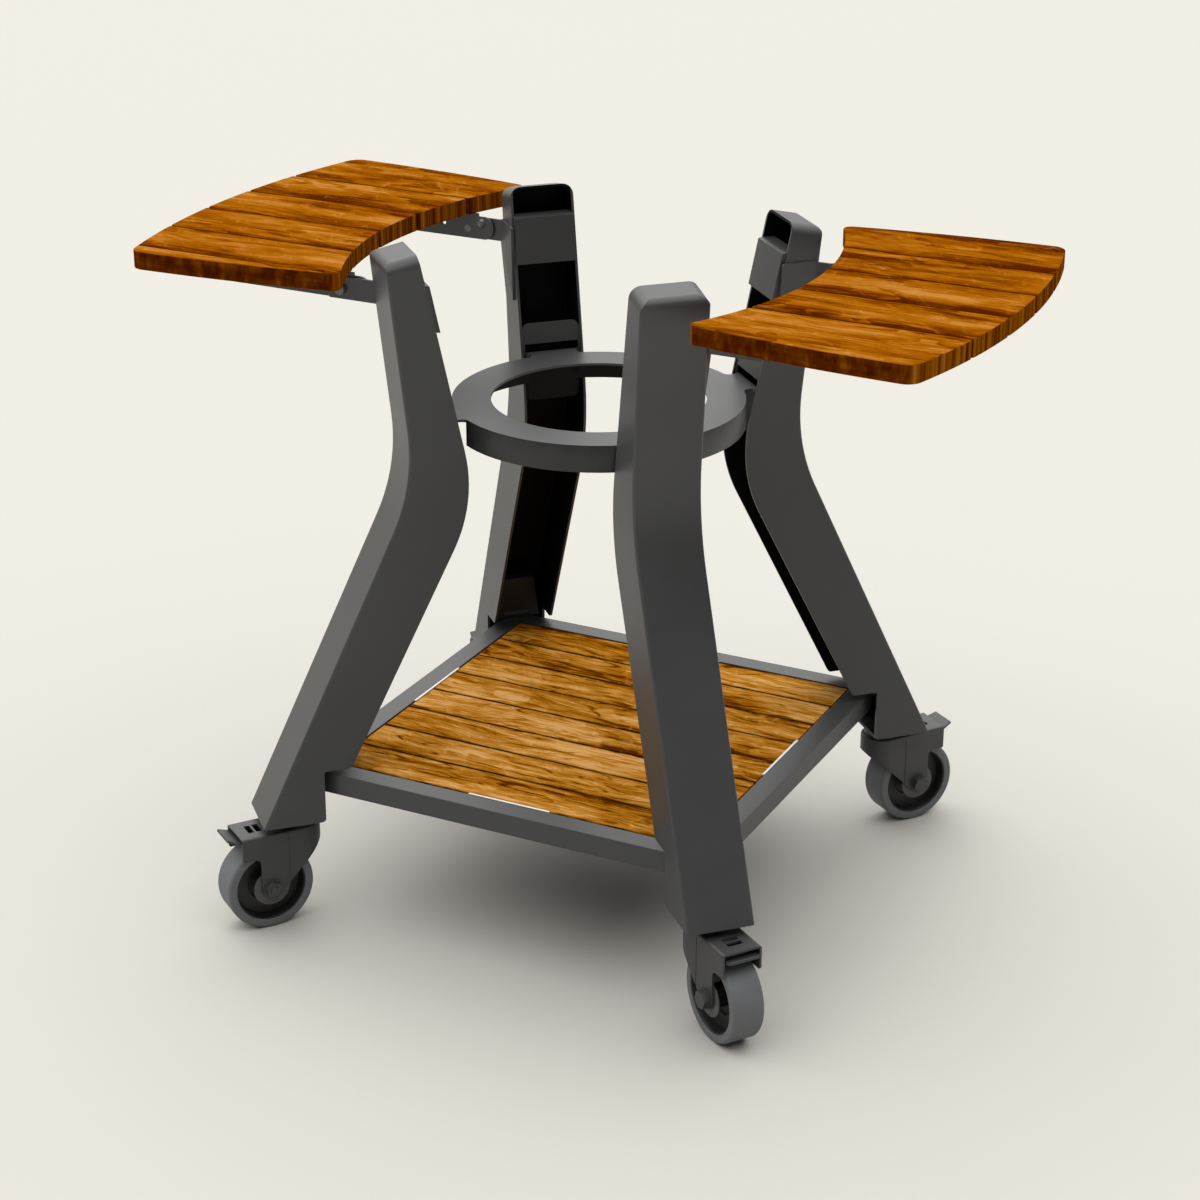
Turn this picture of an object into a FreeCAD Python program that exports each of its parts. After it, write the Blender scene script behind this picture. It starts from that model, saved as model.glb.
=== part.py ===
import FreeCAD, Part
import math, os

os.makedirs("parts", exist_ok=True)

# ---------------------------------------------------------------------------
# Kamado grill table.  Millimetres, +Z up.  The origin is on the floor under
# the centre of the table; +X runs along the shelves, +Y towards the back.
# ---------------------------------------------------------------------------

# lower frame and deck
FRAME = 500.0            # outer side of the square frame
TUBE = 25.0              # square tube
TUBE_WALL = 2.0
FRAME_TOP = 184.5
DECK_BOARDS = 8
DECK_EDGE = 223.0        # half side of the boarded area
DECK_GAP = 2.4
DECK_TOP = 184.0
DECK_THICK = 15.0

# legs
LEG_W = 37.9             # half width of the channel
SHEET = 3.0
LEG_BOTTOM = 129.9
LEG_TOP = 774.8          # at the free edge; the top falls away outwards
TOP_FALL = 0.21

# waist ring
RING_TOP = 586.7
RING_OUT = 163.3
RING_IN = 119.9
SKIRT_BOTTOM = 556.4
TAB_W = 27.5

# side shelves
SHELF_TOP = 755.0
BOARD_T = 20.0
PITCH = 85.0
BOARD_GAP = 2.5
SIDE_IN = (206.0, 211.0)     # the long sides bow outwards through these points
SIDE_MID = (320.0, 226.3)
SIDE_OUT = (462.0, 234.5)
OUT_X, OUT_R = 482.0, 895.0
IN_X, IN_R = 253.5, 430.0
OUT_CORNER, IN_CORNER = 17.0, 10.0
PIVOT_X, PIVOT_Z = 241.0, 716.0
STOP_X, STOP_Z = 222.7, 724.5
ARM_Y0, ARM_Y1 = 140.3, 143.3
RAIL_Y0, RAIL_Y1 = 137.0, 140.0
ARM_NOSE = 18.4

# casters
KING_R = 361.7           # kingpin distance from the centre
TRAIL = 41.7
WHEEL_R = 51.3
WHEEL_W = 38.0
HUB_R = 41.2
SWIVEL = 9.4             # rest angle of the casters from the leg's direction
FORK_TOP = 120.0
FORK_T = 2.5
FORK_N = 23.5            # outer half width of the fork
FORK_D = 75.5            # front of the brake housing

LEGS = {"front_left": 225.0, "front_right": -45.0, "back_right": 45.0, "back_left": 135.0}

V = FreeCAD.Vector
S2 = math.sqrt(0.5)


# ---------------------------------------------------------------------------
# geometry helpers
# ---------------------------------------------------------------------------
def rounded_face(pts, to3d):
    """Planar face from (a, b[, radius]) corners, each corner rounded by its radius."""
    n = len(pts)
    corners = []
    for i in range(n):
        c = pts[i]
        r = c[2] if len(c) > 2 else 0.0
        cx, cy = c[0], c[1]
        if r <= 0:
            corners.append(((cx, cy), None, (cx, cy)))
            continue
        p, q = pts[i - 1], pts[(i + 1) % n]
        ux, uy = p[0] - cx, p[1] - cy
        vx, vy = q[0] - cx, q[1] - cy
        lu, lv = math.hypot(ux, uy), math.hypot(vx, vy)
        ux, uy, vx, vy = ux / lu, uy / lu, vx / lv, vy / lv
        ang = math.acos(max(-1.0, min(1.0, ux * vx + uy * vy)))
        tl = r / math.tan(ang / 2)
        bx, by = ux + vx, uy + vy
        lb = math.hypot(bx, by)
        bx, by = bx / lb, by / lb
        dc = r / math.sin(ang / 2)
        mx, my = cx + bx * (dc - r), cy + by * (dc - r)
        corners.append(((cx + ux * tl, cy + uy * tl), (mx, my), (cx + vx * tl, cy + vy * tl)))
    edges = []
    for i in range(n):
        t1, m, t2 = corners[i]
        if m is not None:
            edges.append(Part.Arc(V(*to3d(*t1)), V(*to3d(*m)), V(*to3d(*t2))).toShape())
        nxt = corners[(i + 1) % n][0]
        if math.hypot(nxt[0] - t2[0], nxt[1] - t2[1]) > 1e-5:
            edges.append(Part.makeLine(V(*to3d(*t2)), V(*to3d(*nxt))))
    return Part.Face(Part.Wire(Part.__sortEdges__(edges)))


def prism_xz(pts, y0, y1):
    return rounded_face(pts, lambda a, b: (a, y0, b)).extrude(V(0, y1 - y0, 0))


def prism_xy(pts, z0, z1):
    return rounded_face(pts, lambda a, b: (a, b, z0)).extrude(V(0, 0, z1 - z0))


def prism_yz(pts, x0, x1):
    return rounded_face(pts, lambda a, b: (x0, a, b)).extrude(V(x1 - x0, 0, 0))


def box(x0, x1, y0, y1, z0, z1):
    return Part.makeBox(x1 - x0, y1 - y0, z1 - z0, V(x0, y0, z0))


def cyl(r, z0, z1, x=0.0, y=0.0):
    return Part.makeCylinder(r, z1 - z0, V(x, y, z0), V(0, 0, 1))


def cyl_y(r, y0, y1, x, z):
    return Part.makeCylinder(r, y1 - y0, V(x, y0, z), V(0, 1, 0))


def hexagon_y(af, y0, y1, x, z, turn=0.0):
    rc = af / math.sqrt(3)
    pts = [(x + rc * math.cos(math.radians(60 * i + turn)), z + rc * math.sin(math.radians(60 * i + turn))) for i in range(6)]
    return prism_xz(pts, y0, y1)


def turned(s, deg, move=None):
    s = s.copy()
    s.rotate(V(0, 0, 0), V(0, 0, 1), deg)
    if move is not None:
        s.translate(V(*move))
    return s


def fused(*items):
    s = items[0]
    for o in items[1:]:
        s = s.fuse(o)
    return s.removeSplitter()


def mirrored_x(s):
    return s.mirror(V(0, 0, 0), V(1, 0, 0))


def mirrored_y(s):
    return s.mirror(V(0, 0, 0), V(0, 1, 0))


def save(name, shape):
    if isinstance(shape, (list, tuple)):
        shape = Part.makeCompound(list(shape))
    if not shape.isValid():
        print("INVALID", name)
    shape.exportStep("parts/%s.step" % name)
    print("%-28s solids %2d  volume %10.0f" % (name, len(shape.Solids), shape.Volume))


# ---------------------------------------------------------------------------
# legs: bent sheet channels, open towards the middle.  Local frame: x = distance
# from the table's axis, y = sideways, z = up; one shape turned four times.
# ---------------------------------------------------------------------------
LOW_SLOPE, UP_SLOPE = 0.4726, 0.103


def low_line(z, off=0.0):
    return 407.0 - off - LOW_SLOPE * (z - 129.9)


def up_line(z, off=0.0):
    return 234.0 - off + UP_SLOPE * (z - 632.8)


def meet(off):
    z = (407.0 - off * 3.318 / 3 + LOW_SLOPE * 129.9 - 234.0 + off * 3.016 / 3 + UP_SLOPE * 632.8) / (LOW_SLOPE + UP_SLOPE)
    return up_line(z, off * 3.016 / 3), z


def inner_edge(z):
    """Distance of the upper free edge of the leg's flanges."""
    return 161.7 + 0.2087 * (z - 534.5)


co, zo = meet(0.0)
ci, zi = meet(SHEET)
EDGE_X = inner_edge(LEG_TOP)


def top_corner(off, drop):
    """Where the outer wall, off inside its line, meets the top, drop below its line."""
    z = LEG_TOP
    for _ in range(30):
        z = LEG_TOP - drop - TOP_FALL * (up_line(z, off) - EDGE_X)
    return up_line(z, off), z


def arch(half, drop, r):
    """Long upright prism with a rounded top that falls away outwards."""
    s = prism_yz([(-half, -600.0), (-half, LEG_TOP - drop, r), (half, LEG_TOP - drop, r), (half, -600.0)], -500.0, 900.0)
    s.rotate(V(EDGE_X, 0, LEG_TOP), V(0, 1, 0), math.degrees(math.atan(TOP_FALL)))
    return s


ox, oz = top_corner(0.0, 0.0)
leg_outer = prism_xz([(low_line(LEG_BOTTOM), LEG_BOTTOM), (co, zo, 217.0), (ox, oz, 10.0),
                      (EDGE_X, LEG_TOP), (153.2, 493.7, 172.0), (304.5, 192.6, 5.0),
                      (336.0, 192.6, 3.0), (336.0, LEG_BOTTOM, 5.0)], -LEG_W, LEG_W)
arch_outer = arch(LEG_W, 0.0, 13.0)
# outer corner bends
bend_edges = []
for f in leg_outer.Faces:
    c = f.CenterOfMass
    if abs(c.y) > 1.0 or c.z < 131.0:
        continue
    if c.z < 760.0 and c.x < (low_line(c.z) if c.z < 500 else up_line(c.z)) - 6.0:
        continue
    if c.z > 765.0 and c.x < 236.0:
        continue
    for e in f.Edges:
        b = e.BoundBox
        if min(abs(b.YMin), abs(b.YMax)) > LEG_W - 0.1 and b.ZLength > 5.0:
            bend_edges.append(e)
leg_outer = leg_outer.makeFillet(3.5, bend_edges)
leg_outer = leg_outer.common(arch_outer)
ix, iz = top_corner(3.016, 3.065)
leg_void = prism_xz([(low_line(115.0, 3.318), 115.0), (ci, zi, 220.0), (ix, iz, 7.0),
                     (80.0, LEG_TOP - 3.065 - TOP_FALL * (80.0 - EDGE_X)), (80.0, 115.0)], -LEG_W + SHEET, LEG_W - SHEET)
arch_void = arch(LEG_W - SHEET, SHEET, 10.0)
leg = leg_outer.cut(leg_void.common(arch_void)).removeSplitter()
for n, a in LEGS.items():
    save("leg_" + n, turned(leg, a))

# cradle pads: plates in front of the leg tops, a flange running back into the channel
pad = fused(prism_xz([(inner_edge(690) - 5.0, 689.0), (inner_edge(690), 690.0), (inner_edge(742), 742.0),
                      (inner_edge(742) - 5.0, 741.0)], -36.0, 36.0),
            prism_xz([(inner_edge(742) - 1.0, 739.0), (inner_edge(742) + 14.0, 739.0), (inner_edge(742) + 14.0, 742.0),
                      (inner_edge(742) - 1.0, 742.0)], -34.9, 34.9),
            prism_xz([(inner_edge(742) + 11.0, 722.0), (inner_edge(742) + 14.0, 722.0), (inner_edge(742) + 14.0, 742.0),
                      (inner_edge(742) + 11.0, 742.0)], -34.9, 34.9))
save("cradle_pads", [turned(pad, a) for a in LEGS.values()])

# waist ring: flat annulus, outer skirt, four tabs with down-turned flanges
plate = cyl(RING_OUT, RING_TOP - SHEET, RING_TOP)
for a in LEGS.values():
    plate = plate.fuse(turned(box(140.0, 175.0, -TAB_W, TAB_W, RING_TOP - SHEET, RING_TOP), a))
plate = plate.removeSplitter()
root = math.sqrt(RING_OUT ** 2 - TAB_W ** 2)
fe = [e for e in plate.Edges if abs(e.BoundBox.ZLength - SHEET) < 0.01
      and abs(math.hypot(e.CenterOfMass.x, e.CenterOfMass.y) - RING_OUT) < 0.05]
plate = plate.makeFillet(8.0, fe)
plate = plate.cut(cyl(RING_IN, RING_TOP - 10, RING_TOP + 10))
skirt = cyl(RING_OUT, SKIRT_BOTTOM, RING_TOP - 1.0).cut(cyl(RING_OUT - SHEET, SKIRT_BOTTOM - 1, RING_TOP))
for a in LEGS.values():
    skirt = skirt.cut(turned(box(100.0, 200.0, -TAB_W, TAB_W, SKIRT_BOTTOM - 2, RING_TOP + 1), a))
ring = plate.fuse(skirt)
for a in LEGS.values():
    ring = ring.fuse(turned(prism_yz([(-31.5, RING_TOP, 3.0), (-31.5, 530.0, 6.5), (31.5, 530.0, 6.5), (31.5, RING_TOP, 3.0)], 172.0, 175.0), a))
    for y in (-17.0, 17.0):
        ring = ring.cut(turned(Part.makeCylinder(3.0, 10.0, V(169.0, y, 552.0), V(1, 0, 0)), a))
ring = ring.removeSplitter()
save("waist_ring", ring)

# plates inside the legs that the ring's flanges are bolted to, with the bolts
seat = prism_yz([(-34.9, 540.0), (-34.9, 620.0, 9.0), (34.9, 620.0, 9.0), (34.9, 540.0)], 150.0, 210.0)
seat = seat.common(prism_xz([(175.0, 540.0), (175.0, 592.0), (inner_edge(620) + 1.5, 620.0), (inner_edge(620) + 4.5, 620.0),
                             (178.0, 591.5), (178.0, 540.0)], -34.9, 34.9))
for y in (-17.0, 17.0):
    seat = seat.fuse(Part.makeCylinder(3.0, 10.1, V(171.9, y, 552.0), V(1, 0, 0)))
    seat = seat.fuse(Part.makeCylinder(6.0, 4.0, V(178.0, y, 552.0), V(1, 0, 0)))
# a slot right above the ring leaves only a narrow strip on either side
seat = seat.cut(box(150.0, 210.0, -32.2, 32.2, RING_TOP + 0.2, 597.0))
seat = seat.removeSplitter()
save("ring_seats", [turned(seat, a) for a in LEGS.values()])

# lower frame: four mitred square tubes
H = FRAME / 2
W = TUBE_WALL
bar = prism_xy([(-H, -H), (H, -H), (H - TUBE, -H + TUBE), (-H + TUBE, -H + TUBE)], FRAME_TOP - TUBE, FRAME_TOP)
bar = bar.cut(prism_xy([(-H + W, -H + W), (H - W, -H + W), (H - TUBE + W, -H + TUBE - W), (-H + TUBE - W, -H + TUBE - W)],
                       FRAME_TOP - TUBE + W, FRAME_TOP - W))
# the frame's corners are cut square to the diagonal, flush with the legs' notches
for a in (-45.0, -135.0):
    bar = bar.cut(turned(box(335.5, 420.0, -80.0, 80.0, FRAME_TOP - TUBE - 5.0, FRAME_TOP + 5.0), a))
for n, a in (("front", 0.0), ("right", 90.0), ("back", 180.0), ("left", -90.0)):
    save("frame_bar_" + n, turned(bar, a))

# corner plates: an upright trapezoid on the frame's corner inside each leg foot,
# flanged back to the leg's outer wall
web_in = low_line(237.0, 3.318)
corner = prism_yz([(-17.6, FRAME_TOP - TUBE + 0.3), (17.6, FRAME_TOP - TUBE + 0.3), (17.6, FRAME_TOP - 0.5), (30.0, FRAME_TOP), (23.0, 237.0, 3.0),
                   (-23.0, 237.0, 3.0), (-30.0, FRAME_TOP), (-17.6, FRAME_TOP - 0.5)], 335.5, 338.5)
corner = corner.fuse(prism_xz([(337.0, 234.0), (low_line(234.0, 3.318), 234.0), (low_line(237.0, 3.318), 237.0), (337.0, 237.0)], -23.0, 23.0))
corner = corner.fuse(prism_xz([(332.5, FRAME_TOP), (338.0, FRAME_TOP), (338.0, 191.0), (335.5, 192.5), (332.5, 189.0)], -16.0, 16.0))
corner = corner.removeSplitter()
save("corner_plates", [turned(corner, a) for a in LEGS.values()])

# deck boards, along X
pitch = 2 * DECK_EDGE / DECK_BOARDS
for i in range(DECK_BOARDS):
    y0 = -DECK_EDGE + i * pitch + (DECK_GAP / 2 if i else 0.0)
    y1 = -DECK_EDGE + (i + 1) * pitch - (DECK_GAP / 2 if i < DECK_BOARDS - 1 else 0.0)
    save("deck_board_%d" % (i + 1), box(-DECK_EDGE, DECK_EDGE, y0, y1, DECK_TOP - DECK_THICK, DECK_TOP))

# deck bearers: two flats across the frame and a gusset in each corner
BZ1 = DECK_TOP - DECK_THICK
bearers = []
for x in (-118.0, 118.0):
    bearers.append(box(x - 12.5, x + 12.5, -H + TUBE, H - TUBE, BZ1 - 6.0, BZ1))
gus = prism_xy([(H - TUBE, -H + TUBE), (H - TUBE, -H + TUBE + 88.0), (H - TUBE - 88.0, -H + TUBE)], BZ1 - 3.0, BZ1)
for a in (0, 90, 180, 270):
    bearers.append(turned(gus, a))
save("deck_bearers", bearers)

# caster plates inside the leg feet, each with its kingpin hole
cp = prism_xz([(337.0, LEG_BOTTOM), (low_line(LEG_BOTTOM, 3.318), LEG_BOTTOM), (low_line(134.0, 3.318), 134.0), (337.0, 134.0)],
              -LEG_W + SHEET, LEG_W - SHEET)
cp = cp.cut(cyl(6.06, 120.0, 140.0, KING_R, 0.0))
for dx in (-10.0, 30.0):
    for dy in (-26.0, 26.0):
        cp = cp.fuse(cyl(5.0, 133.5, 138.0, KING_R + dx, dy))
cp = cp.removeSplitter()
save("caster_plates", [turned(cp, a) for a in LEGS.values()])

# ---------------------------------------------------------------------------
# side shelves.  The right one is made, the left one is its mirror image.
# ---------------------------------------------------------------------------
def arc_x(x0, r, y):
    return x0 - r + math.sqrt(r * r - y * y)


def circle_through(p, q, r):
    """Centre and radius of the circle through three points."""
    ax, ay, bx, by, cx, cy = p[0], p[1], q[0], q[1], r[0], r[1]
    d = 2 * (ax * (by - cy) + bx * (cy - ay) + cx * (ay - by))
    ux = ((ax * ax + ay * ay) * (by - cy) + (bx * bx + by * by) * (cy - ay) + (cx * cx + cy * cy) * (ay - by)) / d
    uy = ((ax * ax + ay * ay) * (cx - bx) + (bx * bx + by * by) * (ax - cx) + (cx * cx + cy * cy) * (bx - ax)) / d
    return (ux, uy), math.hypot(ax - ux, ay - uy)


SIDE_C, SIDE_R = circle_through(SIDE_IN, SIDE_MID, SIDE_OUT)


def meeting(c0, r0, c1, r1, near):
    """The crossing of two circles that is nearer to a point."""
    dx, dy = c1[0] - c0[0], c1[1] - c0[1]
    d = math.hypot(dx, dy)
    a = (r0 * r0 - r1 * r1 + d * d) / (2 * d)
    h = math.sqrt(r0 * r0 - a * a)
    mx, my = c0[0] + a * dx / d, c0[1] + a * dy / d
    two = [(mx - h * dy / d, my + h * dx / d), (mx + h * dy / d, my - h * dx / d)]
    return min(two, key=lambda p: math.hypot(p[0] - near[0], p[1] - near[1]))


def shelf_outline(z0, z1):
    """Curved outer and inner ends and bowed long sides, corners rounded."""
    def rounded_corner(x0, rr, sx, rc):
        # circle of radius rc inside the side's circle and tangent to the end arc
        end_c = (x0 - rr, 0.0)
        end_r = (rr - rc) if sx > 0 else (rr + rc)
        near = (SIDE_OUT if sx > 0 else SIDE_IN)
        c = meeting(SIDE_C, SIDE_R - rc, end_c, end_r, near)
        k = rr / end_r
        on_end = (end_c[0] + (c[0] - end_c[0]) * k, end_c[1] + (c[1] - end_c[1]) * k)
        m = SIDE_R / (SIDE_R - rc)
        on_side = (SIDE_C[0] + (c[0] - SIDE_C[0]) * m, SIDE_C[1] + (c[1] - SIDE_C[1]) * m)
        return c, on_end, on_side
    (ocx, ocy), o1, o2 = rounded_corner(OUT_X, OUT_R, 1, OUT_CORNER)
    (icx, icy), i1, i2 = rounded_corner(IN_X, IN_R, -1, IN_CORNER)

    def mid(c, a, b, r):
        mx, my = (a[0] + b[0]) / 2 - c[0], (a[1] + b[1]) / 2 - c[1]
        l = math.hypot(mx, my)
        return (c[0] + mx / l * r, c[1] + my / l * r)
    om = mid((ocx, ocy), o1, o2, OUT_CORNER)
    im = mid((icx, icy), i1, i2, IN_CORNER)
    sm = mid(SIDE_C, o2, i2, SIDE_R)
    P = lambda p, s=1: V(p[0], p[1] * s, z0)
    e = [Part.Arc(P(o1, -1), V(OUT_X, 0, z0), P(o1)).toShape(),
         Part.Arc(P(o1), P(om), P(o2)).toShape(),
         Part.Arc(P(o2), P(sm), P(i2)).toShape(),
         Part.Arc(P(i2), P(im), P(i1)).toShape(),
         Part.Arc(P(i1), V(IN_X, 0, z0), P(i1, -1)).toShape(),
         Part.Arc(P(i1, -1), P(im, -1), P(i2, -1)).toShape(),
         Part.Arc(P(i2, -1), P(sm, -1), P(o2, -1)).toShape(),
         Part.Arc(P(o2, -1), P(om, -1), P(o1, -1)).toShape()]
    return Part.Face(Part.Wire(Part.__sortEdges__(e))).extrude(V(0, 0, z1 - z0))


slab = shelf_outline(SHELF_TOP - BOARD_T, SHELF_TOP)
for i in range(5):
    yc = (i - 2) * PITCH
    y0 = yc - (PITCH - BOARD_GAP) / 2 if i > 0 else -300.0
    y1 = yc + (PITCH - BOARD_GAP) / 2 if i < 4 else 300.0
    b = slab.common(box(150.0, 520.0, y0, y1, 700.0, 800.0))
    # the board's own corners beside the seams are rounded, then its top and bottom edges
    ve = [e for e in b.Edges if e.BoundBox.ZLength > BOARD_T - 0.1
          and ((i > 0 and abs(e.BoundBox.YMin - y0) < 0.01) or (i < 4 and abs(e.BoundBox.YMax - y1) < 0.01))]
    b = b.makeFillet(3.2, ve)
    try:
        es = [e for e in b.Edges if abs(e.BoundBox.ZLength) < 0.01]
        f = b.makeFillet(1.0, es)
        if f.isValid():
            b = f
    except Exception:
        pass
    save("right_board_%d" % (i + 1), b)
    save("left_board_%d" % (i + 1), mirrored_x(b))

UNDER = SHELF_TOP - BOARD_T
# fixed arm, back right: flange on the leg's side plate and an arm plate square to Y
flange = prism_xz([(199.0, 731.0, 3.0), (240.0, 731.0), (240.0, 703.0, 10.0), (222.0, 645.0, 5.0), (194.0, 645.0, 5.0)], -LEG_W - SHEET, -LEG_W)
flange = turned(flange, 45.0)
armp = prism_xz([(196.9, 730.0), (PIVOT_X + 30.0, 730.0), (PIVOT_X + 30.0, 705.0), (196.9, 705.0)], ARM_Y0, ARM_Y1)
# the arm's nose is round about the pivot, so that the boards pass it when the shelf folds
armp = armp.common(fused(box(190.0, PIVOT_X, ARM_Y0 - 1, ARM_Y1 + 1, 700.0, 735.0), cyl_y(ARM_NOSE, ARM_Y0 - 1, ARM_Y1 + 1, PIVOT_X, PIVOT_Z)))
arm = fused(flange, armp)
# room for the pivot's shank, and a blind groove, open at the top, for the stop bolt's path
GROOVE_Y = ARM_Y0 + 1.7
arm = arm.cut(cyl_y(4.05, 135.0, 150.0, PIVOT_X, PIVOT_Z))
rs = math.hypot(STOP_X - PIVOT_X, STOP_Z - PIVOT_Z)
groove = cyl_y(3.6, 135.0, GROOVE_Y, STOP_X, STOP_Z)
a0 = math.atan2(STOP_Z - PIVOT_Z, STOP_X - PIVOT_X)
path = []
for k in range(13):
    a = a0 - math.radians(40.0) * k / 12
    path.append((PIVOT_X + (rs - 3.6) * math.cos(a), PIVOT_Z + (rs - 3.6) * math.sin(a)))
for k in range(12, -1, -1):
    a = a0 - math.radians(40.0) * k / 12
    path.append((PIVOT_X + (rs + 3.6) * math.cos(a), PIVOT_Z + (rs + 3.6) * math.sin(a)))
arm = arm.cut(groove).cut(prism_xz(path, 135.0, GROOVE_Y)).removeSplitter()
save("shelf_arm_back_right", arm)
save("shelf_arm_front_right", mirrored_y(arm))
save("shelf_arm_back_left", mirrored_x(arm))
save("shelf_arm_front_left", mirrored_x(mirrored_y(arm)))

# shelf rail: angle under the boards, its web beside the arm plate
web = prism_xz([(226.5, 731.5), (206.8, 731.5, 12.0), (206.8, 705.0, 12.0), (393.0, 705.0, 6.0), (393.0, UNDER), (226.5, UNDER)],
               RAIL_Y0, RAIL_Y1)
top = box(248.0, 393.0, 113.0, RAIL_Y1, UNDER - 3.0, UNDER)
rail = fused(web, top)
rail = rail.cut(cyl_y(3.0, 130.0, 150.0, 272.7, 719.7))
rail = rail.cut(cyl_y(4.0, 130.0, 150.0, PIVOT_X, PIVOT_Z)).cut(cyl_y(3.0, 130.0, 150.0, STOP_X, STOP_Z))
save("shelf_rail_back_right", rail)
save("shelf_rail_front_right", mirrored_y(rail))
save("shelf_rail_back_left", mirrored_x(rail))
save("shelf_rail_front_left", mirrored_x(mirrored_y(rail)))

# pivot bolts, stop bolts and wood screws of one shelf
def half_hardware():
    piv = cyl_y(4.0, RAIL_Y0, ARM_Y1 + 2.0, PIVOT_X, PIVOT_Z)
    piv = piv.fuse(cyl_y(5.8, ARM_Y1 + 0.2, ARM_Y1 + 4.6, PIVOT_X, PIVOT_Z))
    stop = cyl_y(3.0, RAIL_Y0 - 1.0, ARM_Y0 + 1.4, STOP_X, STOP_Z)
    dome = Part.makeSphere(6.2, V(STOP_X, RAIL_Y0 + 2.4, STOP_Z)).common(box(200.0, 250.0, 128.0, RAIL_Y0, 700.0, 750.0))
    stop = stop.fuse(dome)
    out = [piv.removeSplitter(), stop.removeSplitter()]
    for x in (262.0, 320.0, 378.0):
        for y in (119.0, 132.5):
            out.append(cyl(3.6, UNDER - 5.0, UNDER - 3.0, x, y))
    return out


hw = half_hardware()
hw = hw + [mirrored_y(s) for s in hw]
save("right_bolts", hw)
save("left_bolts", [mirrored_x(s) for s in hw])

# battens that tie the five boards of a shelf together
bat = [prism_xy([(412.0, -172.0, 4.0), (434.0, -172.0, 4.0), (434.0, 172.0, 4.0), (412.0, 172.0, 4.0)], UNDER - 10.0, UNDER),
       prism_xy([(290.0, -112.8, 4.0), (320.0, -112.8, 4.0), (320.0, 112.8, 4.0), (290.0, 112.8, 4.0)], UNDER - 12.0, UNDER)]
save("right_battens", bat)
save("left_battens", [mirrored_x(s) for s in bat])

# ---------------------------------------------------------------------------
# casters.  Local frame: origin on the floor under the kingpin, x = the way the
# wheel trails, y = sideways.  One set, turned four times.
# ---------------------------------------------------------------------------
def plan(r, front, z0, z1):
    """Straight sides and a round rear about the kingpin."""
    e = [Part.makeLine(V(front, -r, z0), V(-2.0, -r, z0)),
         Part.Arc(V(-2.0, -r, z0), V(-2.0 - r, 0, z0), V(-2.0, r, z0)).toShape(),
         Part.makeLine(V(-2.0, r, z0), V(front, r, z0)),
         Part.makeLine(V(front, r, z0), V(front, -r, z0))]
    return Part.Face(Part.Wire(Part.__sortEdges__(e))).extrude(V(0, 0, z1 - z0))


body = plan(FORK_N, FORK_D, 20.0, FORK_TOP)
te = [e for e in body.Edges if e.BoundBox.ZMin > FORK_TOP - 0.01 and not (e.BoundBox.XMin > FORK_D - 0.01)]
body = body.makeFillet(3.2, te)
EAR = 12.5
px_, pz_ = -25.5, 101.5
dd = math.hypot(TRAIL - px_, WHEEL_R - pz_)
th = math.atan2(WHEEL_R - pz_, TRAIL - px_) - math.asin(EAR / dd)
tl_ = math.sqrt(dd * dd - EAR * EAR)
tan_pt = (px_ + tl_ * math.cos(th), pz_ + tl_ * math.sin(th))
side = prism_xz([(-30.0, FORK_TOP), (-30.0, 101.5), (px_, pz_), tan_pt, (TRAIL, WHEEL_R), (TRAIL + EAR, WHEEL_R),
                 (TRAIL + EAR, 91.8, 7.0), (FORK_D, 91.8, 2.5), (FORK_D, FORK_TOP)], -30.0, 30.0)
side = side.fuse(cyl_y(EAR, -30.0, 30.0, TRAIL, WHEEL_R)).removeSplitter()
body = body.common(side)
void = plan(FORK_N - FORK_T, FORK_D + 10.0, 10.0, FORK_TOP - FORK_T)
ve = [e for e in void.Edges if e.BoundBox.ZMin > FORK_TOP - FORK_T - 0.01 and not (e.BoundBox.XMin > FORK_D + 9.0)]
void = void.makeFillet(1.0, ve)
body = body.cut(void)
# two slots in the brake housing's top
# upright pressed line on either cheek, where the rear turns in towards the kingpin
for y in (-1, 1):
    body = body.cut(box(19.6, 21.2, min(y * (FORK_N - 0.5), y * (FORK_N + 2)), max(y * (FORK_N - 0.5), y * (FORK_N + 2)), 52.0, FORK_TOP - 6.0))
body = body.cut(box(45.8, 52.6, -9.0, 9.0, FORK_TOP - 6, FORK_TOP + 2)).cut(box(55.2, 62.0, -9.0, 9.0, FORK_TOP - 6, FORK_TOP + 2))
# swivel race and kingpin
race = Part.makeCone(21.5, 19.5, 6.6, V(0, 0, FORK_TOP - 0.5), V(0, 0, 1))
body = body.fuse(race).fuse(cyl(12.0, FORK_TOP, 129.6)).fuse(cyl(6.0, 126.0, 141.0))
body = body.fuse(prism_xy([(9.2 * math.cos(math.radians(60 * i)), 9.2 * math.sin(math.radians(60 * i))) for i in range(6)], 134.3, 140.0))
PIN = (55.0, 106.6)
body = body.cut(cyl_y(5.0, -40.0, 40.0, TRAIL, WHEEL_R))
fork = body.removeSplitter()
axle = cyl_y(5.0, -FORK_N - 2.0, FORK_N + 2.0, TRAIL, WHEEL_R)
axle = axle.fuse(cyl_y(11.6, -FORK_N - 1.6, -FORK_N, TRAIL, WHEEL_R)).fuse(cyl_y(11.6, FORK_N, FORK_N + 1.6, TRAIL, WHEEL_R))
axle = axle.fuse(hexagon_y(18.5, -FORK_N - 7.8, -FORK_N - 1.6, TRAIL, WHEEL_R, 12.0))
axle = axle.fuse(hexagon_y(17.0, FORK_N + 1.6, FORK_N + 6.6, TRAIL, WHEEL_R, 20.0)).fuse(cyl_y(5.0, FORK_N, FORK_N + 9.0, TRAIL, WHEEL_R))
axle = axle.removeSplitter()
pin = cyl_y(2.0, -FORK_N + FORK_T, FORK_N - FORK_T, PIN[0], PIN[1])

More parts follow.
